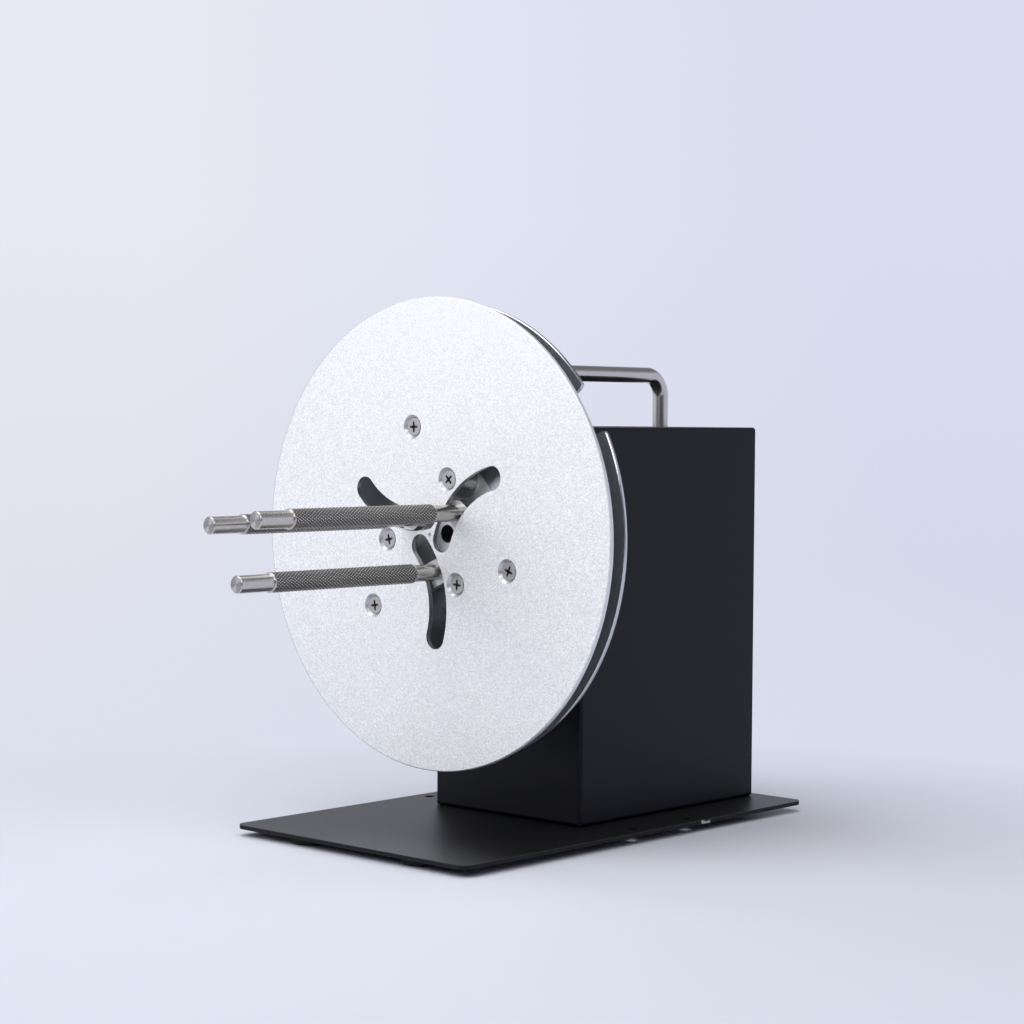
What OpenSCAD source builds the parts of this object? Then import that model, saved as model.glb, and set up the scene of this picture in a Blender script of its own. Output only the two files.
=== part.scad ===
// Label rewinder: a motor-driven disc with three knurled rods that open together to hold a paper core.
// The spindle runs along Y, the disc faces -Y and the machine stands on z = 0.
// Depths are counted backwards from the front face of the front disc.

/* [Base plate] */
// Width of the base plate
plate_w = 149.5; // [142:0.5:180]
// Length of the base plate
plate_l = 247; // [236:1:270]
// Thickness of the base plate
plate_t = 2; // [1.5:0.25:4]
// Corner radius of the base plate
plate_corner_r = 5; // [2:0.5:10]
// How far the plate reaches behind the housing
plate_overhang = 7; // [0:0.5:12]
// Diameter of the four holes for bench screws
bench_hole_d = 5; // [3:0.5:6]
// Distance between bench holes across the plate
bench_hole_dx = 133.5; // [128:0.5:136]
// Distance between bench holes along the plate
bench_hole_dy = 40; // [20:1:60]
// Distance from the plate's front edge to the first bench holes
bench_hole_inset = 122; // [80:0.2:150]
// Diameter of a rubber foot
foot_d = 20; // [14:1:26]
// Height of a rubber foot
foot_h = 3.5; // [2:0.5:8]
// Distance between foot centres across the plate
foot_dx = 72; // [50:1:100]
// Distance from the plate's front and back edges to the foot centres
foot_inset = 14; // [13:1:24]

/* [Housing] */
// Width of the sheet-metal housing
housing_w = 95; // [90:1:106]
// Depth of the housing from front to back
housing_l = 133.2; // [115:0.2:150]
// Height of the housing above the base plate
housing_h = 187.8; // [176:0.2:220]
// Sheet thickness of the housing and the back panel
sheet_t = 1.5; // [1:0.1:1.6]
// Outside radius of the bends
bend_r = 1.8; // [1.7:0.1:5]
// Width of the turned-in flanges
flange_w = 12; // [11:0.5:14]
// Gap round the back panel
panel_gap = 0.3; // [0.1:0.1:0.6]
// Distance from the front disc's face back to the housing
housing_gap = 53.4; // [51:0.2:64]
// Height of the spindle above the base plate
axis_h = 137.6; // [128:0.2:150]

/* [Handle] */
// Diameter of the handle's rod
handle_d = 8; // [6:0.5:10]
// Distance between the handle's legs
handle_span = 97; // [80:0.5:108]
// Height of the grip's middle above the housing
handle_h = 26.3; // [20:0.1:45]
// Bend radius at the middle of the rod
handle_bend_r = 8; // [6:0.5:16]

/* [Discs] */
// Diameter of the front disc
disc_d = 220; // [200:1:240]
// Thickness of the front disc
disc_t = 2.5; // [2.5:0.25:4]
// Edge chamfer of both discs
disc_chamfer = 0.4; // [0.2:0.1:0.8]
// Clear space between the front disc and the hub's face
disc_gap = 9.4; // [9.2:0.1:13]
// Diameter of the adjusting ring
ring_d = 216; // [196:1:236]
// Thickness of the adjusting ring
ring_t = 2; // [1.5:0.25:3]
// Position of the first finger notch, anticlockwise from the right
notch_angle = 33.6; // [0:0.2:119]
// Angle that a finger notch spans
notch_span = 12.3; // [6:0.1:20]
// Depth of a finger notch
notch_depth = 9; // [4:0.5:14]
// Rounding of a finger notch's outer corners
notch_round = 2.4; // [1:0.1:3]
// Distance of the disc posts from the spindle
post_r = 28.1; // [27.2:0.1:29]
// Position of the first disc post, anticlockwise from the right
post_angle = 66.7; // [62:0.1:70]
// Diameter of a disc post
post_d = 10; // [8:0.5:11]

/* [Hub and spindle] */
// Diameter of the hub where the ring turns on it
hub_d = 70; // [68:0.5:74]
// Diameter of the hub's back flange
hub_flange_d = 80; // [78:0.5:82]
// Thickness of the hub's back flange
hub_flange_t = 5; // [4:0.5:7]
// Diameter of the hub's boss
hub_boss_d = 36; // [30:1:40]
// Diameter of the hole in the hub's face
hub_hole_d = 8.4; // [5:0.2:12]
// Thickness of the friction washer behind the ring
friction_t = 0.8; // [0.5:0.1:1.5]
// Diameter of the spindle, which is the bore of its bearings
spindle_d = 15; // [12:0.5:16]
// Outside diameter of a ball bearing
bearing_d = 35; // [32:1:38]
// Width of a ball bearing
bearing_w = 11; // [9:0.5:11.5]
// Distance between the two bearings
bearing_gap = 9; // [8:0.5:12]
// Diameter of the bearing housing's flange
bearing_flange_d = 62; // [58:1:68]
// Thickness of the bearing housing's flange
bearing_flange_t = 6; // [5:0.5:7]
// Wall of the bearing housing outside the bearings
bearing_wall = 4.5; // [3:0.5:5.5]

/* [Swing arms and rods] */
// Distance of the arm pivots from the spindle
pivot_r = 51.2; // [51:0.1:52]
// Position of the first arm pivot, anticlockwise from the right
pivot_angle = 103.2; // [100:0.1:106]
// Distance from an arm's pivot to its rod
arm_l = 43; // [42.4:0.1:43]
// Distance from an arm's pivot to its cam pin
tail_l = 22; // [19:0.5:24]
// Angle between an arm and its tail
tail_angle = 120; // [116:1:124]
// Thickness of an arm
arm_t = 5; // [3.5:0.25:5.2]
// Diameter of a pivot post
pivot_d = 8; // [7:0.5:10]
// Diameter of a cam pin
pin_d = 5; // [4:0.5:6]
// Whole swing of an arm between its stops
swing = 60; // [50:1:62]
// Swing from the inner stop as drawn
rest_swing = 19.1; // [10:0.1:30]
// Width of the curved slots in the front disc
slot_w = 11.2; // [10.4:0.1:12]
// Diameter of a rod's bare ends
rod_d = 7.8; // [7:0.1:8.6]
// Diameter over the knurl
knurl_d = 9; // [8.8:0.1:10]
// How far a rod stands out from the front disc
rod_reach = 119; // [100:1:160]
// Length of a rod's bare tip
tip_l = 18.5; // [10:0.5:30]
// Length of a rod's bare neck in front of the disc
neck_l = 13.3; // [6:0.1:20]

/* [Controls] */
// Height of the speed knob and the rocker above the base plate
control_h = 75; // [65:1:84]
// Height of the power inlet above the base plate
inlet_h = 36; // [26:1:46]
// Distance of the knob and of the rocker from the middle of the back panel
control_dx = 20; // [16:1:22]
// Diameter of the speed knob
knob_d = 22; // [18:1:26]
// How far the speed knob stands out from the back panel
knob_out = 16; // [14:0.5:22]

/* [Fits] */
// Radial clearance of a turning fit
run_clear = 0.05; // [0.02:0.01:0.08]
// Side play of the ring and of other turning faces
side_play = 0.15; // [0.1:0.05:0.25]
// Radial clearance of a screw in its hole
screw_clear = 0.1; // [0.05:0.05:0.2]

/* [Hidden] */
$fn = 72;
// Over-cut that lets a cutting solid pass through a face
cut = 1;
// Relief at the ends of the curved slots
end_relief = 0.02;

// Heights above the table and positions along Y
plate_z = foot_h;
floor_z = plate_z + plate_t;
axis_z = floor_z + axis_h;
top_z = floor_z + housing_h;
whole_l = rod_reach + housing_gap + housing_l + knob_out;
disc_y = rod_reach - whole_l / 2;
front_y = disc_y + housing_gap;
back_y = front_y + housing_l;
middle_y = (front_y + back_y) / 2;
// The plate's back edge is flush with the housing
plate_back_y = back_y + plate_overhang;
plate_front_y = plate_back_y - plate_l;

// Fasteners: thread, head and head height
m3 = 3;
m3_head_d = 5.6;
m3_head_h = 2;
m4 = 4;
m4_csk_d = 7.6;
m4_head_d = 7;
m4_head_h = 4;
m4_nut_w = 7;
m4_nut_h = 3.2;
m5 = 5;
m5_head_d = 8.5;
m5_head_h = 5;
cross_w = 1.1;
cross_share = 0.6;

// The disc's screws: countersink at the face, head, the head's straight edge and how deep it sits
sink_d = 11.2;
sunk_head_d = 8.4;
sunk_edge = 0.4;
sunk_depth = (sink_d - sunk_head_d) / 2 - sunk_edge;

// Depth of each layer of the disc stack
disc_back = disc_t;
hub_face = disc_back + disc_gap;
ring_depth = hub_face + side_play;
friction_depth = ring_depth + ring_t + side_play;
hub_flange_depth = friction_depth + friction_t;
hub_boss_depth = hub_flange_depth + hub_flange_t;
bearing_flange_depth = housing_gap - bearing_flange_t;
hub_end_gap = 4.4;
hub_end = bearing_flange_depth - hub_end_gap;
hub_wall = 4;
spindle_start = hub_face + hub_wall + hub_flange_t;
retainer_t = 1;
retainer_d = 18;
post_end = hub_face - retainer_t;
post_bite = 3.8;
pivot_washer_t = 0.8;
pivot_washer_d = 14;
arm_depth = disc_back + pivot_washer_t;
arm_back = arm_depth + arm_t;
pivot_head_d = 12;
pivot_head_t = 1.4;
pivot_bite = 4.5;
pivot_end = arm_back + side_play + pivot_head_t;
pin_end = ring_depth + ring_t - 0.5;
cam_w = pin_d + 2 * run_clear;

// Outline of an arm
arm_eye_d = 16;
arm_w = 12;
tail_w = 10;
spigot_d = 6;
edge_break = 0.5;

// Length of thread in each leg of the handle
handle_bite = 10;

// Bearings and drive line
bearing_recess = 1;
bearing_1 = bearing_flange_depth + bearing_recess;
bearing_2 = bearing_1 + bearing_w + bearing_gap;
bearing_end = bearing_2 + bearing_w;
bearing_body_d = bearing_d + 2 * bearing_wall;
bearing_step = 2.5;
spacer_wall = 2.5;
circlip_t = 1;
circlip_wall = 3;
circlip_groove = 0.5;
motor_d = 36;
motor_end_gap = 8.4;
gearbox_d = 37;
gearbox_boss_d = 12;
gearbox_boss_l = 4;
motor_shaft_d = 8;
motor_shaft_hold = 7;
motor_bolt_r = 15.5;
motor_screw_bite = 5;
panel_in = housing_gap + housing_l - sheet_t;
bracket_t = 3;
bracket_w = 60;
bracket_foot_l = 40;
bracket_rise = 24;
gusset_h = 50;
coupling_d = 26;
coupling_jaw_l = 5;
coupling_shaft_gap = 1;
coupling_end_gap = 4.6;
coupling_boss_gap = 2;
jaw_clear = 0.2;
jaw_root = 0.5;
jaw_span = 50;
jaw_step = 60;
// The motor, the gearbox and the coupling share the length between the rear bearing and the back panel
drive_l = panel_in - motor_end_gap - bracket_t - gearbox_boss_l - coupling_boss_gap
        - bearing_end - coupling_end_gap;
motor_l = drive_l * 0.36;
gearbox_l = drive_l * 0.3;
coupling_hub_l = (drive_l - motor_l - gearbox_l - coupling_jaw_l) / 2;
gearbox_depth = panel_in - motor_end_gap - motor_l - gearbox_l;
bracket_depth = gearbox_depth - bracket_t;
coupling_rear_end = bracket_depth - gearbox_boss_l - coupling_boss_gap;
coupling_mid_2 = coupling_rear_end - coupling_hub_l;
coupling_mid_1 = coupling_mid_2 - coupling_jaw_l;
spindle_end = coupling_mid_1 - coupling_shaft_gap;
jaw_inner_r = spindle_d / 2 + 0.5;

// Control board
board_w = 56;
board_l = 38;
board_t = 1.6;
board_stand = 8;
board_inset = 4;
board_front = front_y + flange_w + 2;

// Controls in the back panel
bezel_w = 15;
bezel_h = 21;
bezel_t = 2;
switch_w = 13;
switch_h = 18.6;
switch_deep = 16;
rocker_w = 10;
rocker_r = 7.3;
rocker_gap = 0.3;
rocker_axis = 1.5;
rocker_pin_d = 2.4;
rocker_pin_side = 1.1;
rocker_floor = 3;
rocker_mid = 2.6;
rocker_end = 4.6;
pot_d = 16.5;
pot_l = 8.5;
pot_bush_d = 7;
pot_bush_out = 4.5;
pot_shaft_d = 6;
pot_nut_w = 10;
pot_nut_h = 2;
knob_gap = 0.5;
knob_end_t = 2.5;
knob_grip = 8;
knob_recess_d = 12.4;
knob_flutes = 18;
knob_flute_d = 2.2;
inlet_flange_d = 12;
inlet_flange_t = 1.5;
inlet_thread_d = 8;
inlet_body_l = 11;
inlet_socket_d = 6.2;
inlet_socket_l = 9;
inlet_pin_d = 2;
inlet_pin_tip = 1;
inlet_nut_w = 11;
inlet_nut_h = 2;
vent_count = 5;
vent_w = 42;
vent_h = 3;
vent_pitch = 8;
vent_drop = 14;

// Screw places
housing_screw_x = housing_w / 2 - flange_w / 2 - 0.5;
housing_screw_inset = 30;
panel_screw_x = housing_w / 2 - sheet_t - 5;
panel_screw_inset = 12;
bracket_screw_x = bracket_w / 2 - 9;
bracket_screw_1 = gearbox_depth + 9;
bracket_screw_2 = bracket_depth + bracket_foot_l - 7;
flange_screw_r = (bearing_flange_d + bearing_body_d) / 4;

// Places children on the spindle's axis: their Z points out of the front disc and z = 0 lies at the depth
module on_axis(depth) translate([0, disc_y + depth, axis_z]) rotate([90, 0, 0]) children();

// Places children on the back panel: their Z points out of the panel
module on_back(x, height) translate([x, back_y, floor_z + height]) rotate([-90, 0, 0]) children();

// Three copies round the spindle
module three(r, angle) for (k = [0 : 2]) rotate(angle + 120 * k) translate([r, 0, 0]) children();

// Four copies at the corners of a rectangle
module corners(dx, dy) for (x = [-dx / 2, dx / 2], y = [-dy / 2, dy / 2]) translate([x, y, 0]) children();

module hole(d, h) translate([0, 0, -cut]) cylinder(d = d, h = h + 2 * cut);

module tube(outer_d, inner_d, h) difference() {
    cylinder(d = outer_d, h = h);
    hole(inner_d, h);
}

// A disc with both edges chamfered
module chamfered_disc(d, h, c) rotate_extrude($fn = 180)
    polygon([[0, 0], [d / 2 - c, 0], [d / 2, c], [d / 2, h - c], [d / 2 - c, h], [0, h]]);

// A flat plate with rounded corners, centred on X and Y
module rounded_plate(w, l, h, r) {
    translate([-w / 2 + r, -l / 2, 0]) cube([w - 2 * r, l, h]);
    translate([-w / 2, -l / 2 + r, 0]) cube([w, l - 2 * r, h]);
    corners(w - 2 * r, l - 2 * r) cylinder(r = r, h = h);
}

// A curved slot about the origin, with round ends that are relieved a little
module arc_slot(r, from, to, w, h) translate([0, 0, -cut]) {
    rotate(from) rotate_extrude(angle = to - from) translate([r - w / 2, 0]) square([w, h + 2 * cut]);
    for (a = [from, to]) rotate(a) translate([r, 0, 0]) cylinder(d = w + 2 * end_relief, h = h + 2 * cut);
}

// A flat bar with a round end, from the origin along X
module bar(l, w, h) {
    translate([0, -w / 2, 0]) cube([l, w, h]);
    translate([l, 0, 0]) cylinder(d = w, h = h);
}

module cross_recess(head_d, deep) for (a = [0, 90])
    rotate(a)
        translate([-head_d * cross_share / 2, -cross_w / 2, -deep])
            cube([head_d * cross_share, cross_w, deep + cut]);

// A countersunk screw whose head is flush with z = 0 and whose shank points down
module csk_screw(d, head_d, l) difference() {
    head_h = (head_d - d) / 2;
    union() {
        translate([0, 0, -head_h]) cylinder(d1 = d, d2 = head_d, h = head_h);
        translate([0, 0, -l]) cylinder(d = d, h = l - head_h);
    }
    cross_recess(head_d, head_h * 0.6);
}

// One of the disc's screws, which reaches from its sunk head to a depth below the disc's face
module sunk_screw(reach) translate([0, 0, -sunk_depth]) difference() {
    cone_h = (sunk_head_d - m4) / 2;
    union() {
        translate([0, 0, -sunk_edge]) cylinder(d = sunk_head_d, h = sunk_edge);
        translate([0, 0, -sunk_edge - cone_h]) cylinder(d1 = m4, d2 = sunk_head_d, h = cone_h);
        translate([0, 0, sunk_depth - reach]) cylinder(d = m4, h = reach - sunk_depth - sunk_edge - cone_h);
    }
    cross_recess(sunk_head_d, cone_h * 0.8);
}

// The countersink and through hole for that screw, in a sheet below z = 0
module csk_hole(d, head_d, t) {
    head_h = (head_d - d) / 2;
    translate([0, 0, -head_h]) cylinder(d1 = d + 2 * screw_clear, d2 = head_d + 2 * screw_clear, h = head_h);
    translate([0, 0, -t - cut]) cylinder(d = d + 2 * screw_clear, h = t + 2 * cut);
}

// A screw with a round head standing on z = 0 and a hexagon socket
module cap_screw(d, head_d, head_h, l) difference() {
    union() {
        cylinder(d = head_d, h = head_h);
        translate([0, 0, -l]) cylinder(d = d, h = l);
    }
    translate([0, 0, head_h / 2]) cylinder(d = d * 0.9, h = head_h, $fn = 6);
}

// A screw with a low round head and a cross recess
module pan_screw(d, head_d, head_h, l) difference() {
    union() {
        cylinder(d = head_d, h = head_h);
        translate([0, 0, -l]) cylinder(d = d, h = l);
    }
    translate([0, 0, head_h]) cross_recess(head_d, head_h * 0.6);
}

module hex_nut(d, w, h) difference() {
    cylinder(d = w / cos(30), h = h, $fn = 6);
    hole(d + 2 * screw_clear, h);
}

// Base plate and what holds things to it

module on_plate() translate([0, (plate_front_y + plate_back_y) / 2, 0]) children();

module at_feet() on_plate() corners(foot_dx, plate_l - 2 * foot_inset) children();

module at_bench_holes() translate([0, plate_front_y + bench_hole_inset + bench_hole_dy / 2, 0])
    corners(bench_hole_dx, bench_hole_dy) children();

// Four screws come up through the plate into the housing's flanges, and four into the motor bracket
module at_housing_screws() for (x = [-housing_screw_x, housing_screw_x],
                                y = [front_y + housing_screw_inset, back_y - housing_screw_inset])
    translate([x, y, 0]) children();

module at_bracket_screws() for (x = [-bracket_screw_x, bracket_screw_x],
                                depth = [bracket_screw_1, bracket_screw_2])
    translate([x, disc_y + depth, 0]) children();

module at_base_screws() {
    at_housing_screws() children();
    at_bracket_screws() children();
}

module base_plate() color("#1d1d20") difference() {
    translate([0, 0, plate_z]) on_plate() rounded_plate(plate_w, plate_l, plate_t, plate_corner_r);
    translate([0, 0, plate_z]) at_bench_holes() hole(bench_hole_d, plate_t);
    translate([0, 0, plate_z]) at_base_screws() mirror([0, 0, 1]) csk_hole(m4, m4_csk_d, plate_t);
}

module rubber_feet() color("#101010") at_feet() rotate_extrude() polygon([
    [0, 0], [foot_d / 2 - edge_break, 0], [foot_d / 2, edge_break], [foot_d / 2, foot_h], [0, foot_h]
]);

module base_screws() color("silver") translate([0, 0, plate_z]) at_base_screws()
    mirror([0, 0, 1]) csk_screw(m4, m4_csk_d, plate_t + bracket_t + m4_nut_h);

module base_nuts() color("silver") {
    translate([0, 0, floor_z + sheet_t]) at_housing_screws() hex_nut(m4, m4_nut_w, m4_nut_h);
    translate([0, 0, floor_z + bracket_t]) at_bracket_screws() hex_nut(m4, m4_nut_w, m4_nut_h);
}

// Folded sheet housing

// A block of the given size standing on z = 0 with rounded bends, square at its back edges
module folded_block(w, l, h, r) intersection() {
    union() {
        translate([-w / 2, r, 0]) cube([w, l - r, h]);
        translate([-w / 2 + r, 0, 0]) cube([w - 2 * r, l, h]);
        for (x = [-w / 2 + r, w / 2 - r]) translate([x, r, 0]) cylinder(r = r, h = h);
    }
    union() {
        translate([-w / 2, 0, r]) cube([w, l, h - 2 * r]);
        translate([-w / 2 + r, 0, 0]) cube([w - 2 * r, l, h]);
        for (x = [-w / 2 + r, w / 2 - r], z = [r, h - r])
            translate([x, 0, z]) rotate([-90, 0, 0]) cylinder(r = r, h = l);
    }
    union() {
        translate([-w / 2, r, 0]) cube([w, l - r, h]);
        translate([-w / 2, 0, r]) cube([w, l, h - 2 * r]);
        for (z = [r, h - r]) translate([-w / 2, r, z]) rotate([0, 90, 0]) cylinder(r = r, h = w);
    }
}

module housing() color("#1b1b1f") difference() {
    translate([0, front_y, floor_z]) folded_block(housing_w, housing_l, housing_h, bend_r);
    // Inside of the folded sheet, up to the flange that carries the back panel
    translate([0, front_y + sheet_t, floor_z + sheet_t])
        folded_block(housing_w - 2 * sheet_t, housing_l - 3 * sheet_t, housing_h - 2 * sheet_t,
                     bend_r - sheet_t);
    // Opening left by the flanges at the bottom
    translate([-housing_w / 2 + flange_w, front_y + flange_w, floor_z - cut])
        cube([housing_w - 2 * flange_w, housing_l - 2 * flange_w, sheet_t + 2 * cut]);
    // Opening and seat for the back panel
    translate([-housing_w / 2 + flange_w, back_y - 3 * sheet_t, floor_z + flange_w])
        cube([housing_w - 2 * flange_w, 3 * sheet_t + cut, housing_h - 2 * flange_w]);
    translate([-housing_w / 2 + sheet_t, back_y - sheet_t, floor_z + sheet_t])
        cube([housing_w - 2 * sheet_t, sheet_t + cut, housing_h - 2 * sheet_t]);
    // Hole for the bearing housing and its screws
    on_axis(housing_gap + sheet_t) {
        hole(bearing_body_d + 2 * screw_clear, sheet_t);
        at_flange_screws() hole(m4 + 2 * screw_clear, sheet_t);
    }
    translate([0, 0, floor_z]) at_housing_screws() hole(m4 + 2 * screw_clear, sheet_t);
    translate([0, 0, top_z - sheet_t]) at_handle_legs() hole(m5 + 2 * screw_clear, sheet_t);
    at_panel_screws() translate([0, 0, -3 * sheet_t]) hole(m3 + 2 * screw_clear, 3 * sheet_t);
}

module at_panel_screws() for (x = [-panel_screw_x, panel_screw_x],
                              h = [panel_screw_inset, housing_h - panel_screw_inset])
    on_back(x, h) children();

module back_panel() color("#1b1b1f") difference() {
    panel_w = housing_w - 2 * sheet_t - 2 * panel_gap;
    panel_h = housing_h - 2 * sheet_t - 2 * panel_gap;
    translate([-panel_w / 2, back_y - sheet_t, floor_z + sheet_t + panel_gap])
        cube([panel_w, sheet_t, panel_h]);
    at_panel_screws() translate([0, 0, -sheet_t]) hole(m3 + 2 * screw_clear, sheet_t);
    on_back(control_dx, control_h) translate([0, 0, -sheet_t]) hole(pot_bush_d + 2 * screw_clear, sheet_t);
    on_back(0, inlet_h) translate([0, 0, -sheet_t]) hole(inlet_thread_d + 2 * screw_clear, sheet_t);
    on_back(-control_dx, control_h) translate([0, 0, -sheet_t / 2])
        cube([switch_w + 2 * screw_clear, switch_h + 2 * screw_clear, sheet_t + 2 * cut], center = true);
    for (k = [0 : vent_count - 1])
        on_back(0, housing_h - flange_w - vent_drop - k * vent_pitch) vent();
}

// One louvre slot with round ends
module vent() translate([0, 0, -sheet_t - cut]) {
    translate([-vent_w / 2 + vent_h / 2, -vent_h / 2, 0]) cube([vent_w - vent_h, vent_h, sheet_t + 2 * cut]);
    for (x = [-1, 1]) translate([x * (vent_w - vent_h) / 2, 0, 0])
        cylinder(d = vent_h, h = sheet_t + 2 * cut);
}

module panel_screws() color("#2a2a2d") at_panel_screws() pan_screw(m3, m3_head_d, m3_head_h, 3 * sheet_t);

// Carrying handle

module at_handle_legs() for (y = [middle_y - handle_span / 2, middle_y + handle_span / 2])
    translate([0, y, 0]) children();

module handle() color("lightsteelblue") difference() {
    translate([0, middle_y, top_z]) for (side = [0, 1]) mirror([0, side, 0]) rotate([90, 0, 90]) {
        translate([handle_span / 2, 0, 0]) rotate([-90, 0, 0])
            cylinder(d = handle_d, h = handle_h - handle_bend_r);
        translate([handle_span / 2 - handle_bend_r, handle_h - handle_bend_r, 0])
            rotate_extrude(angle = 90) translate([handle_bend_r, 0]) circle(d = handle_d);
        translate([0, handle_h, 0]) rotate([0, 90, 0])
            cylinder(d = handle_d, h = handle_span / 2 - handle_bend_r);
    }
    translate([0, 0, top_z - cut]) at_handle_legs() cylinder(d = m5 + 2 * run_clear, h = handle_bite + cut);
}

module handle_screws() color("silver") translate([0, 0, top_z - sheet_t]) at_handle_legs()
    mirror([0, 0, 1]) pan_screw(m5, m5_head_d, m3_head_h, sheet_t + handle_bite - 1);

// Bearing housing and bearings

module at_flange_screws() for (a = [45 : 90 : 315]) rotate(a) translate([flange_screw_r, 0, 0]) children();

module bearing_housing() color("silver") on_axis(bearing_end) difference() {
    union() {
        cylinder(d = bearing_body_d, h = bearing_end - bearing_flange_depth);
        translate([0, 0, bearing_end - housing_gap])
            chamfered_disc(bearing_flange_d, bearing_flange_t, disc_chamfer);
    }
    hole(bearing_d - 2 * bearing_step, bearing_end - bearing_flange_depth);
    translate([0, 0, -cut]) cylinder(d = bearing_d, h = bearing_w + cut);
    translate([0, 0, bearing_end - bearing_1 - bearing_w])
        cylinder(d = bearing_d, h = bearing_w + bearing_recess + cut);
    translate([0, 0, bearing_end - housing_gap]) at_flange_screws()
        hole(m4 + 2 * screw_clear, bearing_flange_t);
}

module flange_screws() color("#303033") on_axis(bearing_flange_depth) at_flange_screws()
    cap_screw(m4, m4_head_d, m4_head_h, bearing_flange_t + sheet_t + m4_nut_h);

module flange_nuts() color("silver") on_axis(housing_gap + sheet_t + m4_nut_h) at_flange_screws()
    hex_nut(m4, m4_nut_w, m4_nut_h);

// A sealed ball bearing with a groove between its rings on each side
module ball_bearing() {
    inner_d = spindle_d + 2 * run_clear;
    ring_wall = (bearing_d - inner_d) / 8;
    shield_depth = bearing_w / 16;
    difference() {
        tube(bearing_d, inner_d, bearing_w);
        for (z = [-cut, bearing_w - shield_depth])
            translate([0, 0, z]) tube(bearing_d - 2 * ring_wall, inner_d + 2 * ring_wall, shield_depth + cut);
    }
}

module front_bearing() color("lightgray") on_axis(bearing_1 + bearing_w) ball_bearing();

module rear_bearing() color("lightgray") on_axis(bearing_2 + bearing_w) ball_bearing();

// Motor and its bracket

module motor_bracket() color("#8d9094") difference() {
    bracket_h = axis_h + bracket_rise;
    union() {
        translate([-bracket_w / 2, disc_y + bracket_depth, floor_z]) {
            cube([bracket_w, bracket_t, bracket_h]);
            cube([bracket_w, bracket_foot_l, bracket_t]);
        }
        for (x = [-bracket_w / 2, bracket_w / 2 - bracket_t])
            translate([x, disc_y + gearbox_depth, floor_z + bracket_t]) rotate([90, 0, 90])
                linear_extrude(bracket_t)
                    polygon([[0, 0], [bracket_foot_l - bracket_t, 0], [0, gusset_h]]);
    }
    on_axis(gearbox_depth) {
        hole(gearbox_boss_d + 2 * screw_clear, bracket_t);
        at_motor_screws() hole(m3 + 2 * screw_clear, bracket_t);
    }
    translate([0, 0, floor_z]) at_bracket_screws() hole(m4 + 2 * screw_clear, bracket_t);
}

module at_motor_screws() for (a = [30 : 60 : 330]) rotate(a) translate([motor_bolt_r, 0, 0]) children();

module gearbox() color("#b9bcc0") on_axis(gearbox_depth + gearbox_l) difference() {
    union() {
        chamfered_disc(gearbox_d, gearbox_l, edge_break);
        cylinder(d = gearbox_boss_d, h = gearbox_l + bracket_t + gearbox_boss_l);
    }
    translate([0, 0, gearbox_l - motor_shaft_hold])
        cylinder(d = motor_shaft_d + 2 * run_clear, h = motor_shaft_hold + bracket_t + gearbox_boss_l + cut);
    translate([0, 0, gearbox_l - motor_screw_bite]) at_motor_screws()
        cylinder(d = m3 + 2 * run_clear, h = motor_screw_bite + cut);
}

module motor_screws() color("silver") on_axis(bracket_depth) at_motor_screws()
    pan_screw(m3, m3_head_d, m3_head_h, bracket_t + motor_screw_bite - 1);

// The motor's can with its end bearing boss and two solder tags
module motor() color("#77797d") on_axis(gearbox_depth + gearbox_l + motor_l) {
    boss_d = 10;
    boss_h = 2;
    tag_w = 3;
    tag_t = 0.6;
    tag_l = 5;
    tag_x = 11;
    chamfered_disc(motor_d, motor_l, edge_break);
    translate([0, 0, -boss_h]) cylinder(d = boss_d, h = boss_h);
    for (x = [-tag_x, tag_x]) translate([x - tag_t / 2, -tag_w / 2, -tag_l]) cube([tag_t, tag_w, tag_l]);
}

module motor_shaft() color("silver") {
    shaft_end = gearbox_depth + motor_shaft_hold - side_play;
    on_axis(shaft_end) cylinder(d = motor_shaft_d, h = shaft_end - coupling_mid_2 - coupling_shaft_gap);
}

// Control board

module on_board() translate([0, board_front + board_l / 2, floor_z]) children();

module at_board_holes() on_board() corners(board_w - 2 * board_inset, board_l - 2 * board_inset) children();

module control_board() color("#1f5a37") difference() {
    union() {
        on_board() translate([-board_w / 2, -board_l / 2, board_stand]) cube([board_w, board_l, board_t]);
        on_board() translate([0, 0, board_stand + board_t]) board_parts();
    }
    translate([0, 0, board_stand]) at_board_holes() hole(m3 + 2 * screw_clear, board_t);
}

// Heat sink with fins, two capacitors and a terminal block
module board_parts() {
    sink_w = 22;
    sink_l = 14;
    sink_h = 16;
    fins = 5;
    fin_t = 1.4;
    cap_d = 8;
    cap_h = 14;
    block_w = 24;
    block_l = 8;
    block_h = 10;
    translate([-sink_w / 2, -sink_l / 2, 0]) cube([sink_w, sink_l, sink_h / 4]);
    for (k = [0 : fins - 1])
        translate([-sink_w / 2 + k * (sink_w - fin_t) / (fins - 1), -sink_l / 2, 0])
            cube([fin_t, sink_l, sink_h]);
    for (x = [-1, 1]) translate([x * (sink_w / 2 + cap_d), 0, 0]) cylinder(d = cap_d, h = cap_h);
    translate([-block_w / 2, board_l / 2 - block_l - 1, 0]) cube([block_w, block_l, block_h]);
}

module board_standoffs() color("goldenrod") at_board_holes() tube(2 * m3, m3 + 2 * run_clear, board_stand);

module board_screws() color("silver") translate([0, 0, board_stand + board_t]) at_board_holes()
    pan_screw(m3, m3_head_d, m3_head_h, board_t + board_stand - 2);

// Power inlet, rocker switch and speed control in the back panel

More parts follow.
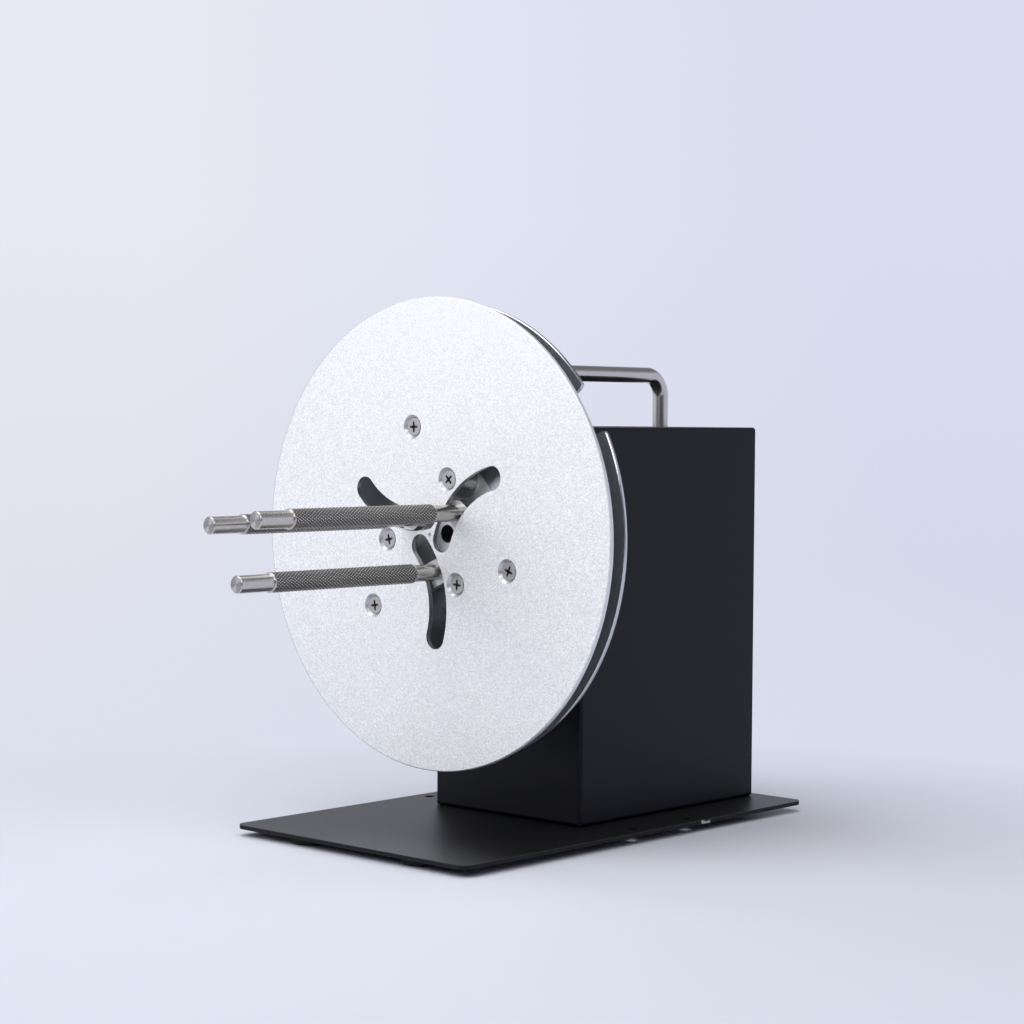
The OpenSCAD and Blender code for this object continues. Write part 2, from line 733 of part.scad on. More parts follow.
module dc_inlet() color("#141416") on_back(0, inlet_h) difference() {
    union() {
        cylinder(d = inlet_flange_d, h = inlet_flange_t);
        translate([0, 0, -inlet_body_l]) cylinder(d = inlet_thread_d, h = inlet_body_l);
    }
    translate([0, 0, inlet_flange_t - inlet_socket_l])
        tube(inlet_socket_d, inlet_pin_d, inlet_socket_l - inlet_pin_tip);
    translate([0, 0, inlet_flange_t - inlet_pin_tip]) cylinder(d = inlet_socket_d, h = inlet_pin_tip + cut);
}

module inlet_nut() color("silver") on_back(0, inlet_h) translate([0, 0, -sheet_t - inlet_nut_h])
    hex_nut(inlet_thread_d, inlet_nut_w, inlet_nut_h);

module on_rocker_axis() on_back(-control_dx, control_h) translate([0, 0, -rocker_axis]) children();

// A bar along X with a round section
module cross_bar(r, l) translate([-l / 2, 0, 0]) rotate([0, 90, 0]) cylinder(r = r, h = l);

module switch_body() color("#141416") difference() {
    on_back(-control_dx, control_h) {
        translate([-bezel_w / 2, -bezel_h / 2, 0]) cube([bezel_w, bezel_h, bezel_t]);
        translate([-switch_w / 2, -switch_h / 2, -switch_deep]) cube([switch_w, switch_h, switch_deep]);
    }
    on_rocker_axis() cross_bar(rocker_r + rocker_gap, rocker_w + 2 * rocker_gap);
    on_rocker_axis() cross_bar(rocker_pin_d / 2 + run_clear, rocker_w + 2 * rocker_pin_side + rocker_gap);
}

// The rocker's ends are round about its pivot, so that they keep clear of the bezel
module rocker() color("#232326") on_rocker_axis() {
    intersection() {
        cross_bar(rocker_r, rocker_w);
        translate([-rocker_w / 2, 0, 0]) rotate([90, 0, 90]) linear_extrude(rocker_w) polygon([
            [-rocker_r - cut, -rocker_floor], [rocker_r + cut, -rocker_floor], [rocker_r + cut, rocker_end],
            [0, rocker_mid], [-rocker_r - cut, rocker_end]
        ]);
    }
    cross_bar(rocker_pin_d / 2, rocker_w + 2 * rocker_pin_side);
}

module pot_body() color("#55585c") on_back(control_dx, control_h) difference() {
    union() {
        translate([0, 0, -sheet_t - pot_l]) cylinder(d = pot_d, h = pot_l);
        translate([0, 0, -sheet_t]) cylinder(d = pot_bush_d, h = sheet_t + pot_bush_out);
    }
    translate([0, 0, -sheet_t - pot_l / 2])
        cylinder(d = pot_shaft_d + 2 * run_clear, h = pot_l + sheet_t + pot_bush_out);
}

module pot_nut() color("silver") on_back(control_dx, control_h) hex_nut(pot_bush_d, pot_nut_w, pot_nut_h);

module pot_shaft() color("silver") on_back(control_dx, control_h)
    translate([0, 0, -sheet_t - pot_l / 2 + side_play])
        cylinder(d = pot_shaft_d, h = sheet_t + pot_l / 2 - side_play + knob_out - knob_end_t);

module speed_knob() color("#18181a") on_back(control_dx, control_h) difference() {
    base = pot_nut_h + knob_gap;
    pointer_w = 1.2;
    pointer_deep = 0.6;
    translate([0, 0, base]) chamfered_disc(knob_d, knob_out - base, edge_break);
    translate([0, 0, base - cut]) cylinder(d = knob_recess_d, h = knob_out - base - knob_grip + cut);
    translate([0, 0, base]) cylinder(d = pot_shaft_d + 2 * run_clear, h = knob_out - base - knob_end_t);
    for (k = [0 : knob_flutes - 1]) rotate(k * 360 / knob_flutes)
        translate([knob_d / 2 + knob_flute_d / 4, 0, base - cut])
            cylinder(d = knob_flute_d, h = knob_out + cut);
    translate([-pointer_w / 2, -knob_d / 2, knob_out - pointer_deep])
        cube([pointer_w, knob_d / 2 - pot_shaft_d / 2, cut]);
}

// Spindle line

module spindle() color("silver") on_axis(spindle_end) difference() {
    cylinder(d = spindle_d, h = spindle_end - spindle_start);
    for (depth = circlip_depths())
        translate([0, 0, spindle_end - depth - circlip_t])
            tube(spindle_d + 2 * cut, spindle_d - 2 * circlip_groove, circlip_t);
}

// One circlip in front of the first bearing and one behind the second
function circlip_depths() = [bearing_1 - side_play - circlip_t, bearing_end + side_play];

module spindle_circlips() color("#45474a") for (depth = circlip_depths()) on_axis(depth + circlip_t)
    tube(spindle_d + 2 * circlip_wall, spindle_d - 2 * circlip_groove, circlip_t);

module bearing_spacer() color("silver") on_axis(bearing_2 - side_play)
    tube(spindle_d + 2 * spacer_wall, spindle_d, bearing_gap - 2 * side_play);

// Three jaws, rooted in one half of the coupling
module jaws() for (k = [0 : 2]) rotate(2 * jaw_step * k) rotate_extrude(angle = jaw_span)
    translate([jaw_inner_r, 0])
        square([coupling_d / 2 - edge_break - jaw_inner_r, jaw_root + coupling_jaw_l - jaw_clear]);

module coupling_front() color("#a3a6aa") {
    on_axis(coupling_mid_1) tube(coupling_d, spindle_d, coupling_hub_l);
    on_axis(coupling_mid_2 - jaw_clear) jaws();
}

module coupling_rear() color("#a3a6aa") {
    on_axis(coupling_rear_end) tube(coupling_d, motor_shaft_d, coupling_hub_l);
    on_axis(coupling_mid_2 + jaw_root) rotate(jaw_step) jaws();
}

// The soft star that fills the spaces between the jaws
module coupling_spider() color("#a8322b") on_axis(coupling_mid_2 - jaw_clear) {
    spider_l = coupling_jaw_l - 2 * jaw_clear;
    arm_gap = jaw_step - jaw_span;
    arm_side = 1;
    cylinder(r = jaw_inner_r - jaw_clear, h = spider_l);
    arm_span = arm_gap - 2 * arm_side;
    for (k = [0 : 5]) rotate(jaw_step * k + jaw_span + arm_side) rotate_extrude(angle = arm_span)
        translate([jaw_inner_r / 2, 0]) square([coupling_d / 2 - 2 * edge_break - jaw_inner_r / 2, spider_l]);
}

// Hub and disc stack

module hub() color("#c9ccd0") on_axis(hub_end) difference() {
    union() {
        cylinder(d = hub_boss_d, h = hub_end - hub_face);
        translate([0, 0, hub_end - hub_boss_depth])
            cylinder(d = hub_flange_d, h = hub_flange_t, $fn = 144);
        translate([0, 0, hub_end - hub_flange_depth])
            cylinder(d = hub_d, h = hub_flange_depth - hub_face, $fn = 144);
    }
    hole(hub_hole_d, hub_end - hub_face);
    translate([0, 0, -cut]) cylinder(d = spindle_d, h = hub_end - spindle_start + cut);
    three(post_r, post_angle) hole(m5 + 2 * screw_clear, hub_end - hub_face);
    at_set_screws() cylinder(d = m5, h = hub_boss_d);
}

// Two grub screws at right angles, halfway along the boss, pointing away from the spindle
module at_set_screws() for (a = [0, 90]) translate([0, 0, (hub_end - hub_boss_depth) / 2])
    rotate([0, 90, a]) children();

module hub_set_screws() color("#303033") on_axis(hub_end) at_set_screws() difference() {
    grub_l = (hub_boss_d - spindle_d) / 2 - 1;
    socket_l = 2.5;
    translate([0, 0, spindle_d / 2]) cylinder(d = m5, h = grub_l);
    translate([0, 0, spindle_d / 2 + grub_l - socket_l]) cylinder(d = m5 / 2, h = socket_l + cut, $fn = 6);
}

module hub_screws() color("#303033") on_axis(hub_boss_depth) three(post_r, post_angle)
    mirror([0, 0, 1]) cap_screw(m5, m5_head_d, m5_head_h, hub_boss_depth - post_end + post_bite);

module friction_washer() color("ivory") on_axis(hub_flange_depth)
    tube(hub_flange_d, hub_d + 2 * screw_clear, friction_t, $fn = 144);

module retaining_washers() color("silver") on_axis(hub_face) three(post_r, post_angle)
    tube(retainer_d, m5 + 2 * screw_clear, retainer_t);

module disc_posts() color("silver") on_axis(post_end) three(post_r, post_angle) difference() {
    cylinder(d = post_d, h = post_end - disc_back);
    translate([0, 0, -cut]) cylinder(d = m5 + 2 * run_clear, h = post_bite + edge_break + cut);
    translate([0, 0, post_end]) csk_hole(m4, sink_d, post_end);
}

module front_disc() color("gainsboro") on_axis(disc_back) difference() {
    dimple_d = 1.6;
    chamfered_disc(disc_d, disc_t, disc_chamfer);
    translate([0, 0, disc_t]) three(post_r, post_angle) csk_hole(m4, sink_d, disc_t);
    translate([0, 0, disc_t]) three(pivot_r, pivot_angle) csk_hole(m4, sink_d, disc_t);
    three(pivot_r, pivot_angle) arc_slot(arm_l, 180 - swing, 180, slot_w, disc_t);
    translate([0, 0, disc_t - dimple_d / 2]) cylinder(d1 = 0, d2 = 2 * dimple_d, h = dimple_d);
}

module disc_screws() color("silver") on_axis(0) three(post_r, post_angle)
    sunk_screw(disc_t + post_bite);

module pivot_screws() color("silver") on_axis(0) three(pivot_r, pivot_angle)
    sunk_screw(disc_t + pivot_bite);

// Shouldered posts behind the front disc, on which the arms turn
module pivot_posts() color("silver") on_axis(pivot_end) three(pivot_r, pivot_angle) difference() {
    union() {
        cylinder(d = pivot_head_d, h = pivot_head_t);
        cylinder(d = pivot_d, h = pivot_end - disc_back);
    }
    translate([0, 0, pivot_end]) csk_hole(m4, sink_d, disc_back + pivot_bite + edge_break);
}

module pivot_washers() color("ivory") on_axis(arm_depth - side_play) three(pivot_r, pivot_angle)
    tube(pivot_washer_d, pivot_d + 2 * run_clear, pivot_washer_t - side_play);

// The ring turns on the hub. An arm turns as far as the ring does, so in the ring each cam pin
// keeps its direction from its pivot, and its slot is an arc with the radius of the pivot circle.
module adjusting_ring() color("#b4b8bc") on_axis(ring_depth + ring_t) difference() {
    chamfered_disc(ring_d, ring_t, disc_chamfer);
    hole(hub_d + 2 * run_clear, ring_t, $fn = 144);
    for (k = [0 : 2]) {
        tail_turn = 180 - rest_swing + tail_angle;
        rotate(pivot_angle + 120 * k)
            translate(tail_l * [cos(tail_turn), sin(tail_turn), 0])
                arc_slot(pivot_r, -rest_swing, swing - rest_swing, cam_w, ring_t);
    }
    for (k = [0 : 2]) rotate(notch_angle + 120 * k) translate([0, 0, -cut]) notch(ring_t + 2 * cut);
}

// A finger notch about the X axis, whose outer corners are broken by two cuts each
module notch(h) {
    short = 0.4 * notch_round;
    rotate(-notch_span / 2) rotate_extrude(angle = notch_span)
        translate([ring_d / 2 - notch_depth, 0]) square([notch_depth + cut, h]);
    for (a = [-notch_span / 2, notch_span / 2]) rotate(a) translate([ring_d / 2, 0, 0])
        linear_extrude(height = h) {
            polygon([[-notch_round, 0], [0, -short], [notch_round, 0], [0, short]]);
            polygon([[-short, 0], [0, -notch_round], [short, 0], [0, notch_round]]);
        }
}

// Places children in the frame of arm k: origin on its pivot, X towards its rod
module on_arm(k, depth) on_axis(depth) rotate(pivot_angle + 120 * k) translate([pivot_r, 0, 0])
    rotate(180 - rest_swing) children();

module arm(k) color("#9ea2a6") on_arm(k, arm_back) difference() {
    union() {
        cylinder(d = arm_eye_d, h = arm_t);
        bar(arm_l, arm_w, arm_t);
        rotate(tail_angle) bar(tail_l, tail_w, arm_t);
    }
    hole(pivot_d + 2 * run_clear, arm_t);
    translate([arm_l, 0, 0]) hole(spigot_d, arm_t);
    rotate(tail_angle) translate([tail_l, 0, 0]) hole(pin_d, arm_t);
}

module cam_pin(k) color("silver") on_arm(k, pin_end) rotate(tail_angle) translate([tail_l, 0, 0])
    cylinder(d = pin_d, h = pin_end - arm_depth);

// A rod: riveted spigot, bare neck, knurled grip and bare chamfered tip
module rod(k) color("#b0aca6") on_arm(k, 0) translate([arm_l, 0, 0]) rotate_extrude() polygon([
    [0, -arm_back], [spigot_d / 2, -arm_back], [spigot_d / 2, -arm_depth], [rod_d / 2, -arm_depth],
    [rod_d / 2, neck_l], [knurl_d / 2, neck_l + (knurl_d - rod_d) / 2],
    [knurl_d / 2, rod_reach - tip_l - (knurl_d - rod_d) / 2], [rod_d / 2, rod_reach - tip_l],
    [rod_d / 2, rod_reach - edge_break], [rod_d / 2 - edge_break, rod_reach], [0, rod_reach]
]);

base_plate();
rubber_feet();
base_screws();
base_nuts();
housing();
back_panel();
panel_screws();
handle();
handle_screws();
bearing_housing();
flange_screws();
flange_nuts();
front_bearing();
rear_bearing();
motor_bracket();
gearbox();
motor();
motor_screws();
control_board();
board_standoffs();
board_screws();
dc_inlet();
inlet_nut();
switch_body();
pot_body();
pot_nut();
spindle();
bearing_spacer();
spindle_circlips();
coupling_front();
coupling_spider();
coupling_rear();
motor_shaft();
hub();
hub_set_screws();
hub_screws();
friction_washer();
retaining_washers();
disc_posts();
front_disc();
disc_screws();
pivot_posts();
pivot_screws();
pivot_washers();
adjusting_ring();
arm(0);  // arm_1
arm(1);  // arm_2
arm(2);  // arm_3
rod(0);  // rod_1
rod(1);  // rod_2
rod(2);  // rod_3
cam_pin(0);  // cam_pin_1
cam_pin(1);  // cam_pin_2
cam_pin(2);  // cam_pin_3
rocker();
speed_knob();
pot_shaft();
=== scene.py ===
"""Looks of the label rewinder: materials, knurled rods, handle, screws, floor, light and camera."""
import math

import bmesh
import bpy
from mathutils import Matrix, Vector


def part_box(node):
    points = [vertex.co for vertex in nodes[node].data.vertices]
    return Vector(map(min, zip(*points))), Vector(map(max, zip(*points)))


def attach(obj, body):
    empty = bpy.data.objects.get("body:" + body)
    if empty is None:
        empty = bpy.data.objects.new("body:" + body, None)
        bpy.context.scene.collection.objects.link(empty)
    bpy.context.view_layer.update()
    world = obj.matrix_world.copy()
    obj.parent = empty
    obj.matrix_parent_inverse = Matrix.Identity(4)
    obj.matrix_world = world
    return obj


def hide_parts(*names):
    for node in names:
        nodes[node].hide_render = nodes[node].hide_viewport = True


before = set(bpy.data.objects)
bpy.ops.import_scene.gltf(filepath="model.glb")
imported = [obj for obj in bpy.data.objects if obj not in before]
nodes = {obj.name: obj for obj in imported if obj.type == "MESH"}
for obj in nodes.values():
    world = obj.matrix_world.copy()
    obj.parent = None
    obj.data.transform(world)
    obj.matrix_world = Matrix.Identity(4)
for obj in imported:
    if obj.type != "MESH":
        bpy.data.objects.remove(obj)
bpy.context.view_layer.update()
MM = 0.001

# Positions in the shared frame, read from the solids
disc_low, disc_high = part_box("front_disc")
DISC_Y = disc_low.y
AXIS_X = (disc_low.x + disc_high.x) / 2
AXIS_Z = (disc_low.z + disc_high.z) / 2
plate_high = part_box("base_plate")[1]

# Camera: the photograph's place, direction and lens
CAM_AZ, CAM_EL, CAM_ROLL = 0.744602, 0.040665, 0.006761
CAM_PLACE = Vector((767.608 * MM, DISC_Y - 776.584 * MM, AXIS_Z + 55.145 * MM))
CAM_FOCAL_PX, PHOTO_PX, SENSOR = 2356.05, 1024, 36.0


def make_camera():
    """A level camera turned by azimuth, tipped by elevation and rolled a little."""
    flat = math.cos(CAM_EL)
    back = Vector((math.sin(CAM_AZ) * flat, -math.cos(CAM_AZ) * flat, math.sin(CAM_EL)))
    level = Vector((math.cos(CAM_AZ), math.sin(CAM_AZ), 0.0))
    upright = back.cross(level)
    right = level * math.cos(CAM_ROLL) + upright * math.sin(CAM_ROLL)
    up = upright * math.cos(CAM_ROLL) - level * math.sin(CAM_ROLL)
    data = bpy.data.cameras.new("camera")
    data.sensor_fit = "HORIZONTAL"
    data.sensor_width = SENSOR
    data.lens = SENSOR * CAM_FOCAL_PX / PHOTO_PX
    data.clip_end = 50
    camera = bpy.data.objects.new("camera", data)
    camera.matrix_world = Matrix((
        (right.x, up.x, back.x, CAM_PLACE.x),
        (right.y, up.y, back.y, CAM_PLACE.y),
        (right.z, up.z, back.z, CAM_PLACE.z),
        (0, 0, 0, 1),
    ))
    bpy.context.scene.collection.objects.link(camera)
    bpy.context.scene.camera = camera


# Materials


class Nodes:
    """A material's node tree, with short calls that add and join nodes."""

    def __init__(self, name):
        self.material = bpy.data.materials.new(name)
        self.material.use_nodes = True
        self.tree = self.material.node_tree
        self.shader = self.tree.nodes["Principled BSDF"]
        self.place = self.add("ShaderNodeTexCoord").outputs["Object"]

    def add(self, kind, **values):
        node = self.tree.nodes.new(kind)
        for key, value in values.items():
            if key in node.inputs:
                self.put(node.inputs[key], value)
            else:
                setattr(node, key, value)
        return node

    def put(self, socket, value):
        if hasattr(value, "is_output"):
            self.tree.links.new(value, socket)
        else:
            socket.default_value = value

    def set(self, **values):
        for key, value in values.items():
            self.put(self.shader.inputs[key.replace("_", " ")], value)

    def noise(self, scale, detail=2.0, rough=0.5, at=None):
        return self.add("ShaderNodeTexNoise", Vector=at or self.place, Scale=scale, Detail=detail,
                        Roughness=rough).outputs["Fac"]

    def ramp(self, fac, low, high, start=0.0, end=1.0):
        node = self.add("ShaderNodeMapRange", Value=fac)
        for socket, value in zip(node.inputs[1:5], (start, end, low, high)):
            socket.default_value = value
        return node.outputs["Result"]

    def mix(self, fac, a, b):
        node = self.add("ShaderNodeMix", data_type="RGBA")
        for socket, value in zip((node.inputs[0], node.inputs[6], node.inputs[7]), (fac, a, b)):
            self.put(socket, value)
        return node.outputs[2]

    def math(self, operation, a, b=0.0):
        node = self.add("ShaderNodeMath", operation=operation)
        self.put(node.inputs[0], a)
        self.put(node.inputs[1], b)
        return node.outputs[0]

    def axes(self):
        return self.add("ShaderNodeSeparateXYZ", Vector=self.place).outputs

    def radius(self):
        """Distance from the spindle's axis."""
        x, _, z = self.axes()
        across, up = self.math("SUBTRACT", x, AXIS_X), self.math("SUBTRACT", z, AXIS_Z)
        square = self.math("ADD", self.math("MULTIPLY", across, across), self.math("MULTIPLY", up, up))
        return self.math("SQRT", square)

    def stretch(self, scale):
        return self.add("ShaderNodeMapping", Vector=self.place, Scale=scale).outputs["Vector"]

    def bump(self, height, strength, distance):
        node = self.add("ShaderNodeBump", Height=height, Strength=strength, Distance=distance)
        self.put(self.shader.inputs["Normal"], node.outputs["Normal"])


def rgb(r, g, b):
    return (r, g, b, 1.0)


def powder_coat(name, colour, gloss, spec):
    """Black fine-textured coat on sheet steel."""
    n = Nodes(name)
    grain = n.noise(2600, 3)
    cloud = n.noise(18, 2)
    dark = rgb(*(c * 0.8 for c in colour))
    n.set(Base_Color=n.mix(cloud, dark, rgb(*colour)), Specular_IOR_Level=spec)
    n.set(Roughness=n.ramp(grain, gloss - 0.06, gloss + 0.06, 0.3, 0.7))
    n.bump(grain, 0.25, 0.00005)
    return n


def blasted_aluminium():
    """Sandblasted disc: sparkling grain, smoother cuts, pale rim; painted shade on cut walls, left edge,
    centre pit.
    """
    n = Nodes("blasted_aluminium")
    grain = n.noise(2200, 1, 0.6)
    flakes = n.add("ShaderNodeTexVoronoi", Vector=n.place, Scale=2300).outputs["Color"]
    spark = n.add("ShaderNodeSeparateColor", Color=flakes).outputs[0]
    metal = n.mix(spark, rgb(0.71, 0.717, 0.72), rgb(0.97, 0.974, 0.972))
    radius, wide = n.radius(), disc_high.x - AXIS_X
    x, deep, _ = n.axes()
    inner = n.math("MULTIPLY", n.ramp(deep, 1.0, 0.0, disc_high.y - 0.15 * MM, disc_high.y - 0.05 * MM),
                   n.ramp(radius, 1.0, 0.0, wide - 2 * MM, wide - 1 * MM))
    # Cut walls of slots and holes: smoother, and darker as painted shade.
    cut = n.math("MULTIPLY", inner, n.ramp(deep, 0.0, 1.0, DISC_Y + 0.05 * MM, DISC_Y + 0.15 * MM))
    # Painted shade on the face's outer border, strongest on the left and fading out towards the middle.
    border = n.math("MULTIPLY", n.ramp(radius, 0.0, 1.0, wide - 0.8 * MM, wide - 0.4 * MM),
                    n.ramp(x, 1.0, 0.0, -90 * MM, 0.0))
    rim = n.ramp(radius, 0.0, 1.0, wide - 0.2 * MM, wide - 0.1 * MM)
    # Painted shade in the centre mark's pit: a dark dot on the axis.
    mark = n.ramp(radius, 1.0, 0.0, 0.7 * MM, 1.1 * MM)
    shaded = n.mix(cut, metal, rgb(0.60, 0.605, 0.62))
    edge_and_pit_painted_shade = n.mix(n.math("MAXIMUM", border, mark), shaded, rgb(0.40, 0.40, 0.43))
    n.set(Base_Color=n.mix(rim, edge_and_pit_painted_shade, rgb(0.85, 0.85, 0.88)), Metallic=1.0)
    n.set(Roughness=n.math("SUBTRACT", n.ramp(spark, 0.54, 0.74), n.math("MULTIPLY", cut, 0.24)))
    n.bump(grain, n.math("SUBTRACT", 0.7, n.math("MULTIPLY", cut, 0.6)), 0.0001)
    return n.material


def plain_metal(name, colour, rough, line_scale=(60, 60, 60), line=0.0, tint=0.06, at=None, turned=0.0):
    """Machined or drawn metal with faint lines along one way; turned shafts stretch their highlights."""
    n = Nodes(name)
    if turned:
        n.set(Anisotropic=turned, Anisotropic_Rotation=0.25)
        n.set(Tangent=n.add("ShaderNodeTangent", direction_type="RADIAL", axis="Z").outputs["Tangent"])
    if at == "UV":
        n.place = n.add("ShaderNodeTexCoord").outputs["UV"]
    lines = n.noise(22, 4, 0.65, n.stretch(line_scale))
    cloud = n.noise(35, 3)
    low = rgb(*(c * (1 - tint) for c in colour))
    n.set(Base_Color=n.mix(cloud, low, rgb(*colour)), Metallic=1.0)
    n.set(Roughness=n.ramp(lines, rough - 0.07, rough + 0.07, 0.3, 0.7))
    if line:
        n.bump(lines, line, 0.00004)
    return n


def turned_face(name, colour, rough):
    """A lathe-faced end, whose circular marks spread the highlight into two cones."""
    n = Nodes(name)
    rings = n.noise(3000, 1)
    n.set(Base_Color=n.mix(rings, rgb(*(c * 0.9 for c in colour)), rgb(*colour)), Metallic=1.0)
    n.set(Anisotropic=0.9, Anisotropic_Rotation=0.25)
    n.set(Roughness=n.ramp(rings, rough - 0.04, rough + 0.04))
    n.set(Tangent=n.add("ShaderNodeTangent", direction_type="RADIAL", axis="Z").outputs["Tangent"])
    return n.material


def moulded(name, colour, rough, spec=0.5):
    """Moulded plastic or rubber with a fine grain."""
    n = Nodes(name)
    grain = n.noise(1800, 2)
    cloud = n.noise(60, 2)
    n.set(Base_Color=n.mix(cloud, rgb(*(c * 0.85 for c in colour)), rgb(*colour)))
    n.set(Roughness=n.ramp(grain, rough - 0.05, rough + 0.05), Specular_IOR_Level=spec)
    n.bump(grain, 0.3, 0.00006)
    return n.material


CHIP_Y, CHIP_HALF, CHIP_WOBBLE = 74.5 * MM, 3.2 * MM, 4 * MM


def chipped_plate():
    """The plate's coat, duller on its edges, with a small chip down to bare metal on the right one."""
    n = powder_coat("plate_coat", (0.0036, 0.0036, 0.0055), 0.43, 0.5)
    coat = n.shader.inputs["Base Color"].links[0].from_socket
    x, y, z = n.axes()
    wobble = n.math("MULTIPLY", n.noise(420, 2), CHIP_WOBBLE)
    along = n.math("ABSOLUTE", n.math("SUBTRACT", n.math("ADD", y, wobble), CHIP_Y))
    chip = n.math("MULTIPLY", n.math("LESS_THAN", along, CHIP_HALF),
                  n.math("GREATER_THAN", x, plate_high.x - 0.6 * MM))
    low = n.math("LESS_THAN", z, n.math("ADD", wobble, plate_high.z - 2.8 * MM))
    n.set(Base_Color=n.mix(n.math("MULTIPLY", chip, low), coat, rgb(0.52, 0.5, 0.48)))
    n.set(Specular_IOR_Level=n.ramp(z, 0.2, 0.5, plate_high.z - 0.4 * MM, plate_high.z - 0.2 * MM))
    return n.material


HUB_BORE_R = 4.1 * MM


def bored_hub():
    """The hub's satin face, with painted shade inside its bore."""
    n = plain_metal("hub_aluminium", (0.86, 0.87, 0.88), 0.42, line=0.05)
    metal = n.shader.inputs["Base Color"].links[0].from_socket
    face = n.ramp(n.radius(), 0.0, 1.0, HUB_BORE_R, HUB_BORE_R + 0.25 * MM)
    # Painted shade: near black within the bore's radius.
    n.set(Base_Color=n.mix(face, rgb(0.03, 0.03, 0.032), metal))
    return n.material


def turned_aluminium():
    """Bright turned metal with fine rings about the spindle's axis."""
    n = Nodes("turned_aluminium")
    at = n.add("ShaderNodeCombineXYZ", X=n.radius()).outputs["Vector"]
    rings = n.noise(2600, 2, 0.5, at)
    n.set(Base_Color=n.mix(rings, rgb(0.56, 0.58, 0.605), rgb(0.62, 0.64, 0.665)), Metallic=1.0)
    n.set(Roughness=n.ramp(rings, 0.17, 0.29, 0.3, 0.7))
    return n.material


def dress(names, material):
    for name in names:
        data = nodes[name].data
        data.materials.clear()
        data.materials.append(material)


def make_materials():
    along, around = (25, 2200, 1), (2200, 25, 1)
    mats = {
        "coat": powder_coat("black_coat", (0.0042, 0.0042, 0.0085), 0.42, 0.2).material,
        "plate": chipped_plate(),
        "blasted": blasted_aluminium(),
        "turned": turned_aluminium(),
        "hub": bored_hub(),
        "stainless": plain_metal("stainless", (0.60, 0.575, 0.55), 0.2, along, 0.1, at="UV").material,
        "rod": plain_metal("rod_steel", (0.52, 0.49, 0.465), 0.26, around, 0.05, at="UV",
                           turned=0.6).material,
        "tip": plain_metal("tip_steel", (0.64, 0.61, 0.585), 0.26, around, 0.05, at="UV",
                           turned=0.75).material,
        "end": turned_face("turned_end", (0.42, 0.41, 0.40), 0.36),
        # Knurl: the dark flanks are painted shade in the grooves, the near-white crests a painted highlight.
        "knurl": plain_metal("knurl_painted_shade", (0.25, 0.237, 0.225), 0.34, tint=0.12).material,
        "crest_painted_highlight": plain_metal("knurl_crest_painted_highlight", (1.0, 0.98, 0.955), 0.34, tint=0.08).material,
        "screw": plain_metal("screw_steel", (0.50, 0.495, 0.485), 0.34, (80, 80, 80), 0.05).material,
        # Painted shade in the screws' cross recesses.
        "recess": plain_metal("recess_painted_shade", (0.2, 0.18, 0.16), 0.4).material,
        "steel": plain_metal("steel", (0.55, 0.55, 0.55), 0.3, line=0.05).material,
        "zinc": plain_metal("zinc_steel", (0.6, 0.61, 0.63), 0.3, tint=0.12).material,
        # Black oxide; on the spindle its near black is painted shade seen down the hub's bore.
        "oxide_and_bore_shade": plain_metal("black_oxide_and_bore_shade", (0.05, 0.05, 0.052), 0.38).material,
        "lacquer": moulded("motor_lacquer", (0.2, 0.205, 0.21), 0.4),
        "rubber": moulded("foot_rubber", (0.018, 0.018, 0.018), 0.75, 0.3),
        "plastic": moulded("black_plastic", (0.02, 0.02, 0.021), 0.45),
        "nylon": moulded("nylon", (0.75, 0.73, 0.67), 0.5),
        "board": moulded("board_green", (0.02, 0.13, 0.06), 0.3),
        "brass": plain_metal("brass", (0.72, 0.52, 0.24), 0.28).material,
        "spider": moulded("spider_red", (0.42, 0.04, 0.03), 0.5),
    }
    dress(["housing", "back_panel"], mats["coat"])
    dress(["base_plate"], mats["plate"])
    dress(["front_disc"], mats["blasted"])
    dress(["adjusting_ring", "bearing_housing", "coupling_front", "coupling_rear"], mats["turned"])
    dress(["hub"], mats["hub"])
    dress(["handle", "bearing_spacer", "motor_shaft", "front_bearing", "rear_bearing", "pivot_posts",
           "disc_posts", "retaining_washers", "pot_shaft", "disc_screws", "pivot_screws"], mats["steel"])
    for number in (1, 2, 3):
        dress([f"arm_{number}", f"cam_pin_{number}", f"rod_{number}"], mats["steel"])
    dress(["base_screws", "base_nuts", "handle_screws", "flange_nuts", "motor_bracket", "motor_screws",
           "board_screws", "inlet_nut", "pot_nut"], mats["zinc"])
    # Black oxide on screws and circlips; on the spindle it is painted shade down the hub's bore.
    dress(["panel_screws", "flange_screws", "hub_screws", "hub_set_screws", "spindle_circlips", "spindle"],
          mats["oxide_and_bore_shade"])
    dress(["motor", "gearbox", "pot_body"], mats["lacquer"])
    dress(["rubber_feet"], mats["rubber"])
    dress(["dc_inlet", "switch_body", "rocker", "speed_knob"], mats["plastic"])
    dress(["friction_washer", "pivot_washers"], mats["nylon"])
    dress(["control_board"], mats["board"])
    dress(["board_standoffs"], mats["brass"])
    dress(["coupling_spider"], mats["spider"])
    return mats


# Turned and bent pieces

SHARP = math.radians(28)


def finish_piece(bm, name, mats, materials, place, body, stands_for):
    """Makes an object of the mesh, with hard edges kept hard, and binds it to the frame."""
    bm.normal_update()
    for edge in bm.edges:
        edge.smooth = len(edge.link_faces) == 2 and edge.calc_face_angle() < SHARP
    mesh = bpy.data.meshes.new(name)
    bm.to_mesh(mesh)
    bm.free()
    for key in materials:
        mesh.materials.append(mats[key])
    piece = bpy.data.objects.new(name, mesh)
    piece.matrix_world = place
    bpy.context.scene.collection.objects.link(piece)
    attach(piece, body)
    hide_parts(stands_for)


